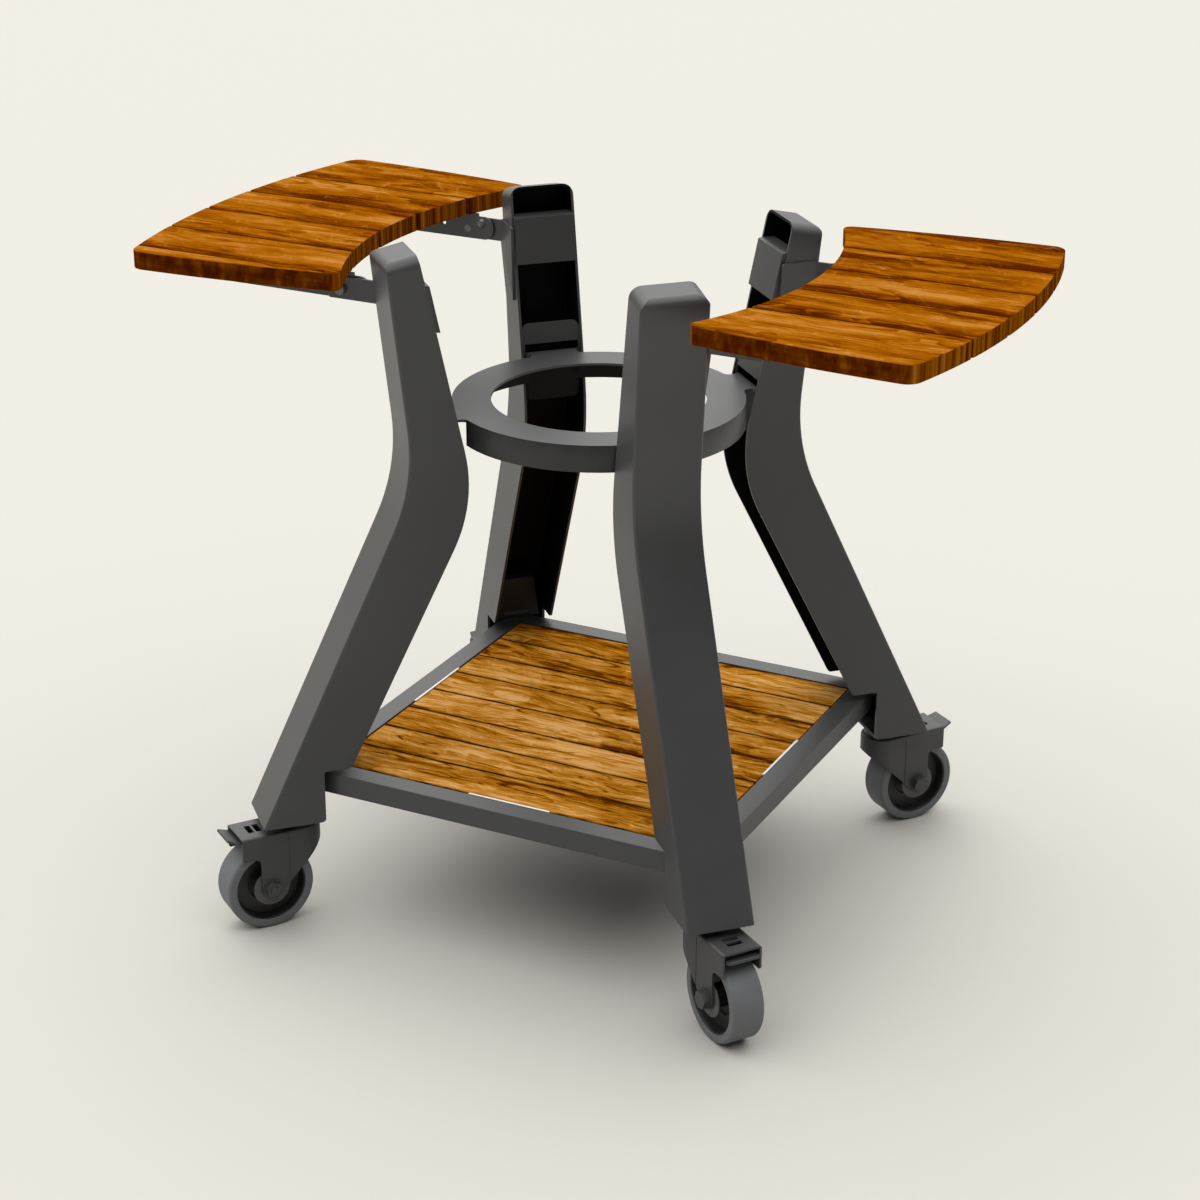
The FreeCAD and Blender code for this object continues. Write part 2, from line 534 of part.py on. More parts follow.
tp = [(HUB_R, -WHEEL_W / 2, 1.0), (WHEEL_R, -WHEEL_W / 2, 3.5), (WHEEL_R, WHEEL_W / 2, 3.5), (HUB_R, WHEEL_W / 2, 1.0)]
tyre = rounded_face(tp, lambda a, b: (a, b, 0)).revolve(V(0, 0, 0), V(0, 1, 0), 360)
# hub: a thin rim, a flat floor on either side of the web, a stepped well round the
# slim core, and a round guard plate over the core's end just inside the fork
half = [(39.8, 17.6), (38.0, 4.4), (23.0, 4.4), (22.0, 1.6), (13.5, 1.6), (12.6, 17.6), (21.4, 18.4), (21.4, 20.2), (5.06, 20.2)]
hp = [(HUB_R, -17.6), (HUB_R, 17.6)] + half + [(r, -y) for r, y in reversed(half)]
hub = rounded_face(hp, lambda a, b: (a, b, 0)).revolve(V(0, 0, 0), V(0, 1, 0), 360)
for s in (tyre, hub):
    s.translate(V(TRAIL, 0, WHEEL_R))

# brake pedal, up: a barrel on the cross pin and a tab rising out of the housing
ped = prism_xz([(53.0, 105.2), (63.0, 106.2), (91.0, 118.4), (89.9, 120.9), (62.2, 108.9), (53.0, 108.0)], -19.6, 19.6)
ped = ped.common(prism_xy([(40.0, -19.6), (74.0, -19.6), (92.5, -15.8, 1.5), (92.5, 15.8, 1.5), (74.0, 19.6), (40.0, 19.6)], 90.0, 130.0))
ped = ped.fuse(cyl_y(3.9, -19.6, 19.6, PIN[0], PIN[1])).cut(cyl_y(2.05, -30.0, 30.0, PIN[0], PIN[1])).removeSplitter()
# brake pedal, pressed: lies level in the mouth of the housing
ped_dn = prism_xz([(53.0, 105.2), (63.0, 106.4), (81.5, 109.4), (81.0, 112.4, 1.0), (62.5, 109.2), (53.0, 108.0)], -19.6, 19.6)
ped_dn = ped_dn.common(prism_xy([(40.0, -19.6), (81.5, -19.6, 6.0), (81.5, 19.6, 6.0), (40.0, 19.6)], 90.0, 130.0))
ped_dn = ped_dn.fuse(cyl_y(3.9, -19.6, 19.6, PIN[0], PIN[1])).cut(cyl_y(2.05, -30.0, 30.0, PIN[0], PIN[1])).removeSplitter()

for n, a in LEGS.items():
    k = (KING_R * math.cos(math.radians(a)), KING_R * math.sin(math.radians(a)), 0.0)
    w = a + SWIVEL
    save("fork_" + n, [turned(fork, w, k), turned(axle, w, k), turned(pin, w, k)])
    save("tyre_" + n, turned(tyre, w, k))
    save("hub_" + n, turned(hub, w, k))
    save("brake_pedal_" + n, turned(ped_dn if n == "front_right" else ped, w, k))
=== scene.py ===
import math
import random

import bmesh
import bpy
from mathutils import Matrix, Vector


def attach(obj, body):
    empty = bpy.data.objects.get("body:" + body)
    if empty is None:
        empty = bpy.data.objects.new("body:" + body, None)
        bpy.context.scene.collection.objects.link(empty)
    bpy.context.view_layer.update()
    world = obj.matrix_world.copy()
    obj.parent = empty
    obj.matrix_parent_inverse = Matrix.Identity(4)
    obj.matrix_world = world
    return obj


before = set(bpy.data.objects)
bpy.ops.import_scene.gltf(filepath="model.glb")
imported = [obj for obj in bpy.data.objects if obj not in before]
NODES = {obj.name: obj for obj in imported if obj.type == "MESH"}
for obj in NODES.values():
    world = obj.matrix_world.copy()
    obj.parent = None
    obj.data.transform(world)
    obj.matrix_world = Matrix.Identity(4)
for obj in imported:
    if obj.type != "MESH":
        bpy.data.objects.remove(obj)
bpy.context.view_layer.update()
random.seed(7)
scene = bpy.context.scene

LEGS = {"front_left": 225.0, "front_right": -45.0, "back_right": 45.0, "back_left": 135.0}

# ---------------------------------------------------------------------------
# camera, at the photograph's angle
# ---------------------------------------------------------------------------
cam_data = bpy.data.cameras.new("camera")
cam_data.lens = 81.043
cam_data.sensor_width = 36.0
cam_data.clip_start = 0.05
cam_data.clip_end = 100.0
cam = bpy.data.objects.new("camera", cam_data)
scene.collection.objects.link(cam)
CAM_AZ, CAM_EL = math.radians(26.6648), math.radians(22.8846)
fwd = Vector((-math.sin(CAM_AZ) * math.cos(CAM_EL), math.cos(CAM_AZ) * math.cos(CAM_EL), -math.sin(CAM_EL)))
cam.location = (1.27948, -2.54538, 1.54403)
cam.rotation_euler = fwd.to_track_quat("-Z", "Y").to_euler()
scene.camera = cam


# ---------------------------------------------------------------------------
# node helpers
# ---------------------------------------------------------------------------
class Net:
    """Short calls for building a node tree."""

    def __init__(self, tree):
        self.t = tree

    def new(self, kind, **props):
        n = self.t.nodes.new(kind)
        for k, v in props.items():
            setattr(n, k, v)
        return n

    def put(self, sock, v):
        if hasattr(v, "is_output") or isinstance(v, bpy.types.NodeSocket):
            self.t.links.new(v, sock)
        else:
            sock.default_value = v

    def math(self, op, a, b=0.0, c=0.0, clamp=False):
        n = self.new("ShaderNodeMath", operation=op, use_clamp=clamp)
        self.put(n.inputs[0], a)
        self.put(n.inputs[1], b)
        if len(n.inputs) > 2:
            self.put(n.inputs[2], c)
        return n.outputs[0]

    def mul(self, a, b):
        return self.math("MULTIPLY", a, b)

    def add(self, a, b):
        return self.math("ADD", a, b)

    def sub(self, a, b):
        return self.math("SUBTRACT", a, b)

    def vec(self, x, y, z):
        n = self.new("ShaderNodeCombineXYZ")
        for s, v in zip(n.inputs, (x, y, z)):
            self.put(s, v)
        return n.outputs[0]

    def xyz(self, v):
        n = self.new("ShaderNodeSeparateXYZ")
        self.put(n.inputs[0], v)
        return n.outputs

    def vadd(self, a, b):
        n = self.new("ShaderNodeVectorMath", operation="ADD")
        self.put(n.inputs[0], a)
        self.put(n.inputs[1], b)
        return n.outputs[0]

    def noise(self, v, scale=1.0, detail=4.0, rough=0.5, lac=2.0, dist=0.0, dims="3D", kind="FBM", w=0.0):
        n = self.new("ShaderNodeTexNoise", noise_dimensions=dims, noise_type=kind)
        self.put(n.inputs["Vector"], v)
        self.put(n.inputs["Scale"], scale)
        self.put(n.inputs["Detail"], detail)
        self.put(n.inputs["Roughness"], rough)
        self.put(n.inputs["Lacunarity"], lac)
        self.put(n.inputs["Distortion"], dist)
        if dims == "4D":
            self.put(n.inputs["W"], w)
        return n.outputs["Fac"]

    def voronoi(self, v, scale=1.0, feature="F1", rand=1.0, out="Distance"):
        n = self.new("ShaderNodeTexVoronoi", feature=feature)
        self.put(n.inputs["Vector"], v)
        self.put(n.inputs["Scale"], scale)
        self.put(n.inputs["Randomness"], rand)
        return n.outputs[out]

    def ramp(self, fac, stops, interp="LINEAR"):
        n = self.new("ShaderNodeValToRGB")
        n.color_ramp.interpolation = interp
        e = n.color_ramp.elements
        while len(e) > 1:
            e.remove(e[-1])
        e[0].position, e[0].color = stops[0][0], tuple(stops[0][1]) + (1.0,)
        for p, c in stops[1:]:
            x = e.new(p)
            x.color = tuple(c) + (1.0,)
        self.put(n.inputs[0], fac)
        return n.outputs[0]

    def map(self, v, a, b, c=0.0, d=1.0, smooth=False):
        n = self.new("ShaderNodeMapRange", clamp=True)
        if smooth:
            n.interpolation_type = "SMOOTHSTEP"
        for s, x in zip(n.inputs, (v, a, b, c, d)):
            self.put(s, x)
        return n.outputs[0]

    def mix(self, f, a, b, mode="MIX"):
        n = self.new("ShaderNodeMix", data_type="RGBA", blend_type=mode)
        self.put(n.inputs[0], f)
        for s, x in ((n.inputs[6], a), (n.inputs[7], b)):
            if isinstance(x, tuple) and len(x) == 3:
                x = x + (1.0,)
            self.put(s, x)
        return n.outputs[2]

    def bump(self, h, dist, strength=1.0, normal=None):
        n = self.new("ShaderNodeBump")
        self.put(n.inputs["Strength"], strength)
        self.put(n.inputs["Distance"], dist)
        self.put(n.inputs["Height"], h)
        if normal is not None:
            self.put(n.inputs["Normal"], normal)
        return n.outputs[0]


def material(name, rough=0.5, metal=0.0, spec=0.5):
    m = bpy.data.materials.new(name)
    m.use_nodes = True
    nt = m.node_tree
    for n in list(nt.nodes):
        nt.nodes.remove(n)
    net = Net(nt)
    b = net.new("ShaderNodeBsdfPrincipled")
    o = net.new("ShaderNodeOutputMaterial")
    nt.links.new(b.outputs[0], o.inputs[0])
    b.inputs["Roughness"].default_value = rough
    b.inputs["Metallic"].default_value = metal
    b.inputs["Specular IOR Level"].default_value = spec
    return m, net, b


def objco(net):
    return net.new("ShaderNodeTexCoord").outputs["Object"]


# ---------------------------------------------------------------------------
# materials
# ---------------------------------------------------------------------------
def powder_coat(name, base, rough=0.42, grain=1.0, tint=0.08):
    """Satin powder coat: fine orange peel, a little cloudiness, dust in the low spots."""
    m, net, b = material(name, rough=rough)
    co = objco(net)
    cloud = net.noise(co, 9.0, 3.0, 0.5)
    fine = net.noise(co, 900.0, 2.0, 0.6)
    peel = net.noise(co, 420.0, 2.0, 0.45)
    col = net.mix(net.map(cloud, 0.3, 0.7), tuple(c * (1 - tint) for c in base), tuple(c * (1 + tint) for c in base))
    col = net.mix(net.map(fine, 0.62, 0.75, 0.0, 0.25), col, tuple(min(1, c * 1.7) for c in base))
    net.put(b.inputs["Base Color"], col)
    r = net.add(net.mul(net.sub(cloud, 0.5), 0.12), net.add(net.mul(net.sub(fine, 0.5), 0.10), rough))
    net.put(b.inputs["Roughness"], r)
    h = net.add(net.mul(peel, 0.7), net.mul(fine, 0.3))
    net.put(b.inputs["Normal"], net.bump(h, 0.00006 * grain, 0.6))
    return m


def wood(name, pitch, off, tones, seed=0.0, gain=1.0, lift=0.0, lines=0.0, seam=0.0, curl=1.0, coarse=1.0, fibre=1.0,
         side=1.0, side_tones=None, under_shade=None, rough=0.46, bump=0.0002, hard=1.0, back=0.0):
    """Oiled hardwood whose grain runs along X.  Every board has its own figure: broad
    bands, streaks, fibres, flames whose one edge is crisp, a few fine cracks and, where
    asked, thin growth lines.  Ends show upright stripes, long sides short streaks."""
    m, net, b = material(name, rough=rough, spec=0.0)
    tc = net.new("ShaderNodeTexCoord")
    x0, y0, z0 = net.xyz(tc.outputs["Object"])
    nx, ny, nz = net.xyz(tc.outputs["Normal"])
    x = net.add(x0, seed)
    t = net.math("DIVIDE", net.sub(y0, off), pitch)
    idx = net.math("FLOOR", t)
    across = net.math("FRACT", t)
    own = net.mul(idx, 3.71)
    wob = net.noise(net.vec(net.mul(x, 4.0), net.mul(y0, 8.0), own), 1.0, 2.0, 0.5)
    wob2 = net.noise(net.vec(net.mul(x, 22.0), net.mul(y0, 36.0), net.add(own, 5.0)), 1.0, 2.0, 0.5)
    y = net.add(y0, net.add(net.mul(net.sub(wob, 0.5), 0.040), net.mul(net.sub(wob2, 0.5), 0.009)))

    def layer(fx, fy, k, detail=2.0, r=0.5):
        return net.sub(net.noise(net.vec(net.mul(x, fx), net.mul(y, fy), net.add(own, k)), 1.0, detail, r), 0.5)

    v = net.add(0.5 + lift, net.mul(layer(2.2, 19.0, 1.0), 1.15 * coarse))
    v = net.add(v, net.mul(layer(5.5, 48.0, 11.0), 0.80 * coarse))
    v = net.add(v, net.mul(layer(15.0, 130.0, 21.0, 3.0, 0.6), 0.85 * fibre))
    v = net.add(v, net.mul(layer(46.0, 420.0, 31.0, 3.0, 0.6), 0.65 * fibre))
    # flames: contours of a slanting field, soft on one side and crisp on the other
    sx = net.add(net.mul(x, 8.5), net.mul(y0, 5.0))
    field = net.noise(net.vec(net.add(sx, net.mul(wob2, 0.9)), net.mul(y0, 13.0), net.add(own, 41.0)), 1.0, 2.0, 0.5)
    saw = net.math("FRACT", net.mul(field, 5.0))
    flame = net.sub(net.mul(net.map(saw, 0.0, 0.82), net.map(saw, 0.90, 1.0, 1.0, 0.0)), 0.42)
    where = net.map(net.noise(net.vec(net.mul(x, 5.0), net.mul(y0, 16.0), net.add(own, 51.0)), 1.0, 1.0, 0.5), 0.42, 0.62)
    v = net.add(v, net.mul(net.mul(flame, where), 0.34 * curl))
    # small sparkling cross flecks
    fl = net.noise(net.vec(net.mul(net.add(x, net.mul(y0, 0.5)), 120.0), net.mul(y, 60.0), net.add(own, 61.0)), 1.0, 2.0, 0.5)
    v = net.add(v, net.mul(net.map(fl, 0.60, 0.74), 0.16 * curl))
    # darker along part of every seam
    edge = net.math("ABSOLUTE", net.sub(across, 0.5))
    low = net.map(across, 0.0, 0.42, 1.0, 0.0, smooth=True)
    ew = net.noise(net.vec(net.mul(x, 4.0), own, 3.0), 1.0, 2.0, 0.5)
    v = net.sub(v, net.mul(net.mul(low, net.map(ew, 0.36, 0.62)), 0.34))
    v = net.sub(v, net.mul(net.map(edge, 0.40, 0.5), 0.10))
    if lines > 0:
        lf = net.noise(net.vec(net.mul(x, 2.6), net.mul(y, 17.0), net.add(own, 71.0)), 1.0, 2.0, 0.45)
        ring = net.math("ABSOLUTE", net.sub(net.math("FRACT", net.mul(lf, 17.0)), 0.5))
        lw = net.map(net.noise(net.vec(net.mul(x, 18.0), net.mul(y, 55.0), net.add(own, 81.0)), 1.0, 3.0, 0.6), 0.44, 0.60)
        v = net.sub(v, net.mul(net.mul(net.map(ring, 0.0, 0.15, 1.0, 0.0), lw), lines))
    v = net.add(net.mul(net.sub(net.mul(v, gain), 0.5), hard), 0.5)
    if back:
        v = net.sub(v, net.map(idx, 3.4, 3.6, 0.0, back))
    stops = [0.0, 0.24, 0.48, 0.72, 1.0]
    col = net.ramp(v, list(zip(stops, tones)))
    # fine light cracks, slanting across the grain, only here and there
    vc = net.voronoi(net.vec(net.mul(net.add(x, net.mul(y0, 0.9)), 24.0), net.mul(y0, 17.0), own), 1.0, "DISTANCE_TO_EDGE")
    vm = net.map(net.noise(net.vec(net.mul(x, 13.0), net.mul(y0, 21.0), net.add(own, 91.0)), 1.0, 1.0, 0.5), 0.60, 0.66)
    crack = net.mul(net.map(vc, 0.0, 0.035, 1.0, 0.0), vm)
    col = net.mix(net.mul(crack, 0.34), col, tones[4])
    # ends: stripes across the grain; long sides: short streaks, a little darker
    st = net.noise(net.vec(net.mul(y0, 150.0), net.mul(x0, 5.0), 7.0), 1.0, 2.0, 0.55)
    st2 = net.noise(net.vec(net.mul(y0, 430.0), net.mul(z0, 14.0), 17.0), 1.0, 2.0, 0.5)
    ve = net.add(0.40 * side, net.add(net.mul(net.sub(st, 0.5), 1.9), net.mul(net.sub(st2, 0.5), 0.8)))
    ce = net.ramp(ve, list(zip(stops, side_tones or tones)))
    sl = net.noise(net.vec(net.mul(x0, 90.0), net.mul(z0, 30.0), 27.0), 1.0, 3.0, 0.6)
    sl2 = net.noise(net.vec(net.mul(x0, 9.0), net.mul(z0, 60.0), 37.0), 1.0, 3.0, 0.6)
    vl = net.add(0.20 * side, net.add(net.mul(net.sub(sl, 0.5), 1.3), net.mul(net.sub(sl2, 0.5), 1.1)))
    cl = net.ramp(vl, list(zip(stops, side_tones or tones)))
    cs = net.mix(net.map(net.math("ABSOLUTE", ny), 0.72, 0.92), ce, cl)
    col = net.mix(net.map(net.math("ABSOLUTE", nz), 0.35, 0.70), cs, col)
    # painted shade: downward faces take a near-black neutral colour in place of the wood
    if under_shade is not None:
        col = net.mix(net.map(nz, -0.7, -0.3, 1.0, 0.0), col, net.mix(net.map(v, 0.2, 0.8), tuple(c * 0.7 for c in under_shade), under_shade))
    if seam > 0:
        sn = net.map(net.noise(net.vec(net.mul(x, 34.0), own, 0.0), 1.0, 3.0, 0.6), 0.34, 0.60, 0.25, 1.0)
        col = net.mix(net.mul(net.map(edge, 0.5 - seam, 0.5 - seam * 0.35), sn), col, (0.016, 0.0062, 0.0010))
    net.put(b.inputs["Base Color"], col)
    net.put(b.inputs["Roughness"], net.map(v, 0.0, 1.0, rough + 0.10, rough - 0.05))
    h = net.add(net.mul(layer(46.0, 420.0, 31.0, 3.0, 0.6), 0.7), net.mul(layer(15.0, 130.0, 21.0, 3.0, 0.6), 0.6))
    net.put(b.inputs["Normal"], net.bump(h, bump, 0.8))
    return m


def rubber(name, base):
    m, net, b = material(name, rough=0.62, spec=0.4)
    co = objco(net)
    n1 = net.noise(co, 35.0, 4.0, 0.55)
    n2 = net.noise(co, 800.0, 2.0, 0.5)
    col = net.mix(net.map(n1, 0.3, 0.7), tuple(c * 0.92 for c in base), tuple(c * 1.06 for c in base))
    net.put(b.inputs["Base Color"], col)
    net.put(b.inputs["Roughness"], net.add(0.50, net.mul(n1, 0.2)))
    net.put(b.inputs["Normal"], net.bump(n2, 0.00005, 0.6))
    return m


def moulded(name, base, rough=0.45):
    m, net, b = material(name, rough=rough)
    co = objco(net)
    n1 = net.noise(co, 60.0, 3.0, 0.5)
    n2 = net.noise(co, 1100.0, 2.0, 0.6)
    net.put(b.inputs["Base Color"], net.mix(n1, tuple(c * 0.85 for c in base), tuple(c * 1.2 for c in base)))
    net.put(b.inputs["Roughness"], net.add(rough - 0.08, net.mul(n1, 0.16)))
    net.put(b.inputs["Normal"], net.bump(n2, 0.00004, 0.6))
    return m


def plated(name, base, rough=0.35, metal=0.85):
    m, net, b = material(name, rough=rough, metal=metal)
    co = objco(net)
    n1 = net.noise(co, 120.0, 4.0, 0.6)
    n2 = net.noise(co, 1500.0, 2.0, 0.6)
    net.put(b.inputs["Base Color"], net.mix(n1, tuple(c * 0.8 for c in base), tuple(c * 1.15 for c in base)))
    net.put(b.inputs["Roughness"], net.add(rough - 0.1, net.mul(n1, 0.2)))
    net.put(b.inputs["Normal"], net.bump(n2, 0.00002, 0.5))
    return m


DIM = 0.60      # the wood's tones are set against this share of the light


def dim(tones, k=DIM):
    return [tuple(c * k for c in t) for t in tones]


COAT = powder_coat("charcoal_coat", (0.044, 0.0453, 0.0476))
# painted shade: darker copies of the charcoal coat, the darkest for plates deep in the legs, the next for the cradle
# pads
COAT_SHADE = powder_coat("charcoal_coat_painted_shade", (0.016, 0.0165, 0.017), rough=0.55)
COAT_MID = powder_coat("charcoal_coat_shaded", (0.034, 0.0345, 0.035), rough=0.46)
FORK = powder_coat("fork_coat", (0.040, 0.041, 0.043), rough=0.46)
SHELF_TONES = [(0.100, 0.0150, 0.0001), (0.185, 0.0400, 0.0002), (0.350, 0.0960, 0.0006), (0.460, 0.152, 0.005), (0.620, 0.255, 0.050)]
DECK_TONES = [(0.140, 0.0320, 0.0002), (0.390, 0.128, 0.0025), (0.620, 0.245, 0.018), (0.800, 0.360, 0.060), (1.020, 0.560, 0.190)]
RAW_TONES = [(0.050, 0.020, 0.006), (0.130, 0.062, 0.022), (0.210, 0.115, 0.045), (0.290, 0.175, 0.080), (0.380, 0.260, 0.140)]
SHELF = wood("shelf_wood", 0.085, -0.2125, dim(SHELF_TONES), seed=0.0, lift=0.0, curl=1.1, fibre=1.35, coarse=1.15, back=0.17)
SHELF_LEFT = wood("shelf_wood_left", 0.085, -0.2125, dim(SHELF_TONES), seed=2.0, lift=0.10, curl=1.1, fibre=1.35, coarse=1.25)
# painted shade: the deck's downward faces are painted near-black neutral
DECK = wood("deck_wood", 0.05575, -0.223, dim(DECK_TONES), seed=4.0, lift=0.06, lines=0.66, seam=0.060, curl=1.1, fibre=2.1, coarse=1.45, hard=0.92,
            under_shade=(0.020, 0.018, 0.016))
BATTEN = wood("batten_wood", 0.03, 0.0, dim(RAW_TONES), seed=9.0, curl=0.3)
TYRE = rubber("tyre_rubber", (0.128, 0.134, 0.143))


def leg_coat(leg, base, shade_col, rough=0.42):
    """The same satin coat on a leg, with painted shade on the faces within the channel: a much darker colour and little
    specular there.
    """
    m, net, b = material("leg_coat_" + leg, rough=rough)
    tc = net.new("ShaderNodeTexCoord")
    co, nor = tc.outputs["Object"], tc.outputs["Normal"]
    a = math.radians(LEGS[leg])
    out_, along_ = Vector((math.cos(a), math.sin(a), 0.0)), Vector((-math.sin(a), math.cos(a), 0.0))

    def dot(v, d):
        n = net.new("ShaderNodeVectorMath", operation="DOT_PRODUCT")
        net.put(n.inputs[0], v)
        n.inputs[1].default_value = d
        return n.outputs["Value"]

    t, nt, nr = dot(co, along_), dot(nor, along_), dot(nor, out_)
    nz = net.xyz(nor)[2]
    # painted shade mask: flange faces turned into the channel and the web's inward faces
    flange = net.map(net.mul(net.math("SIGN", t), nt), -0.75, -0.55, 1.0, 0.0)
    within = net.map(net.math("ABSOLUTE", t), 0.0346, 0.0349, 1.0, 0.0)
    web = net.mul(net.map(net.math("MINIMUM", nr, nz), -0.6, -0.3, 1.0, 0.0), within)
    shade_mask = net.math("MAXIMUM", flange, web)
    cloud = net.noise(co, 9.0, 3.0, 0.5)
    fine = net.noise(co, 900.0, 2.0, 0.6)
    peel = net.noise(co, 420.0, 2.0, 0.45)
    col = net.mix(net.map(cloud, 0.3, 0.7), tuple(c * 0.92 for c in base), tuple(c * 1.08 for c in base))
    col = net.mix(net.map(fine, 0.62, 0.75, 0.0, 0.25), col, tuple(c * 1.7 for c in base))
    # painted shade: those faces take the much darker shade colour
    col = net.mix(shade_mask, col, net.mix(cloud, tuple(c * 0.85 for c in shade_col), tuple(c * 1.15 for c in shade_col)))
    net.put(b.inputs["Base Color"], col)
    net.put(b.inputs["Specular IOR Level"], net.map(shade_mask, 0.0, 1.0, 0.5, 0.05))
    r = net.add(net.mul(net.sub(cloud, 0.5), 0.12), net.add(net.mul(net.sub(fine, 0.5), 0.10), rough))
    net.put(b.inputs["Roughness"], r)
    net.put(b.inputs["Normal"], net.bump(net.add(net.mul(peel, 0.7), net.mul(fine, 0.3)), 0.00006, 0.6))
    return m


def ring_coat(name, base, shade_col, rough=0.42, front=1.0):
    """The ring's coat, with painted shade (a much darker colour and little specular) on the downward faces and
    on the skirt's faces turned towards the centre; the skirt between the front legs is darker."""
    m, net, b = material(name, rough=rough)
    tc = net.new("ShaderNodeTexCoord")
    co, nor = tc.outputs["Object"], tc.outputs["Normal"]
    x, y, z = net.xyz(co)
    nx, ny, nz = net.xyz(nor)
    inward = net.math("MINIMUM", net.add(net.mul(x, nx), net.mul(y, ny)), 0.0)
    # painted shade: downward faces and faces turned towards the centre, below the ring's top, take the shade colour
    shade_mask = net.math("MAXIMUM", net.map(inward, -0.10, -0.05, 1.0, 0.0), net.map(nz, -0.7, -0.3, 1.0, 0.0))
    shade_mask = net.mul(shade_mask, net.map(z, 0.5838, 0.5843, 1.0, 0.0))
    quarter = net.map(net.sub(net.mul(y, -1.0), net.math("ABSOLUTE", x)), 0.0, 0.001)
    strip = net.mul(quarter, net.map(nz, 0.35, 0.60, 1.0, 0.0))
    cloud = net.noise(co, 9.0, 3.0, 0.5)
    fine = net.noise(co, 900.0, 2.0, 0.6)
    peel = net.noise(co, 420.0, 2.0, 0.45)
    col = net.mix(net.map(cloud, 0.3, 0.7), tuple(c * 0.92 for c in base), tuple(c * 1.08 for c in base))
    col = net.mix(strip, col, tuple(c * front for c in base))
    col = net.mix(net.map(fine, 0.62, 0.75, 0.0, 0.25), col, tuple(c * 1.7 for c in base))
    col = net.mix(shade_mask, col, net.mix(cloud, tuple(c * 0.85 for c in shade_col), tuple(c * 1.15 for c in shade_col)))
    net.put(b.inputs["Base Color"], col)
    net.put(b.inputs["Specular IOR Level"], net.map(shade_mask, 0.0, 1.0, 0.5, 0.05))
    net.put(b.inputs["Roughness"], net.add(net.mul(net.sub(cloud, 0.5), 0.12), net.add(net.mul(net.sub(fine, 0.5), 0.10), rough)))
    net.put(b.inputs["Normal"], net.bump(net.add(net.mul(peel, 0.7), net.mul(fine, 0.3)), 0.00006, 0.6))
    return m


def wheel_centre(leg):
    """Centre of a wheel and the direction of its axle."""
    a, w = math.radians(LEGS[leg]), math.radians(LEGS[leg] + 9.4)
    c = Vector((0.3617 * math.cos(a) + 0.0417 * math.cos(w), 0.3617 * math.sin(a) + 0.0417 * math.sin(w), 0.0513))
    return c, Vector((-math.sin(w), math.cos(w), 0.0))


def hub_material(leg):
    """Black moulded hub with a grey guard plate round the axle on either side and a
    dull moulding sheen that changes with the radius."""
    m, net, b = material("hub_plastic_" + leg, rough=0.5)
    c, ax = wheel_centre(leg)
    co = objco(net)
    d = net.new("ShaderNodeVectorMath", operation="SUBTRACT")
    net.put(d.inputs[0], co)
    d.inputs[1].default_value = c
    dot = net.new("ShaderNodeVectorMath", operation="DOT_PRODUCT")
    net.put(dot.inputs[0], d.outputs[0])
    dot.inputs[1].default_value = ax
    along = dot.outputs["Value"]
    ln = net.new("ShaderNodeVectorMath", operation="LENGTH")
    net.put(ln.inputs[0], d.outputs[0])
    tot = ln.outputs["Value"]
    rad = net.math("SQRT", net.math("MAXIMUM", net.sub(net.mul(tot, tot), net.mul(along, along)), 0.0))
    plate = net.mul(net.map(net.math("ABSOLUTE", along), 0.01790, 0.01800), net.map(rad, 0.02165, 0.02175, 1.0, 0.0))
    n1 = net.noise(co, 60.0, 3.0, 0.5)
    n2 = net.noise(co, 1100.0, 2.0, 0.6)
    rings = net.noise(net.vec(net.mul(rad, 900.0), 0.0, 3.0), 1.0, 2.0, 0.5)
    # the web floor beyond 22 mm is painted grey; the recess within 22 mm stays black, painted shade beside the axle
    # boss under its disc
    floor_ = net.mul(net.map(net.math("ABSOLUTE", along), 0.0050, 0.0056, 1.0, 0.0), net.map(rad, 0.0221, 0.0226))
    black = net.mix(n1, (0.0075, 0.0075, 0.008), (0.012, 0.012, 0.0125))
    grey = net.mix(n1, (0.0165, 0.0167, 0.0170), (0.024, 0.0243, 0.0247))
    col = net.mix(floor_, black, grey)
    steel = net.mix(net.add(net.mul(n1, 0.6), net.mul(rings, 0.4)), (0.060, 0.060, 0.060), (0.090, 0.090, 0.088))
    net.put(b.inputs["Base Color"], net.mix(plate, col, steel))
    net.put(b.inputs["Roughness"], net.add(0.42, net.mul(rings, 0.16)))
    h = net.add(net.mul(n2, 0.5), net.mul(rings, 0.5))
    net.put(b.inputs["Normal"], net.bump(h, 0.00004, 0.6))
    return m


LEG_COATS = {leg: leg_coat(leg, (0.044, 0.0453, 0.0476), (0.0045, 0.0052, 0.0062)) for leg in LEGS}
RING = ring_coat("ring_coat", (0.044, 0.0453, 0.0476), (0.0175, 0.0178, 0.0182), front=0.40)
# painted shade: the seats take the shaded coat tone as base, plus the ring's painted shade on downward faces
SEATS = ring_coat("seat_coat", (0.034, 0.0345, 0.035), (0.0175, 0.0178, 0.0182), rough=0.46)
HUBS = {leg: hub_material(leg) for leg in LEGS}
SHIM = moulded("edge_shim_white", (0.80, 0.80, 0.79), rough=0.4)
BOLT = plated("bolt_plate", (0.150, 0.150, 0.148), rough=0.42, metal=0.45)


def finish_node(name, mat, bevel=0.0006, seg=2, angle=32):
    o = NODES[name]
    o.data.materials.clear()
    o.data.materials.append(mat)
    if bevel:
        w = o.modifiers.new("weld", "WELD")
        w.merge_threshold = 0.00002
        b = o.modifiers.new("bevel", "BEVEL")
        b.width = bevel
        b.segments = seg
        b.limit_method = "ANGLE"
        b.angle_limit = math.radians(angle)
        b.harden_normals = True
        b.use_clamp_overlap = True


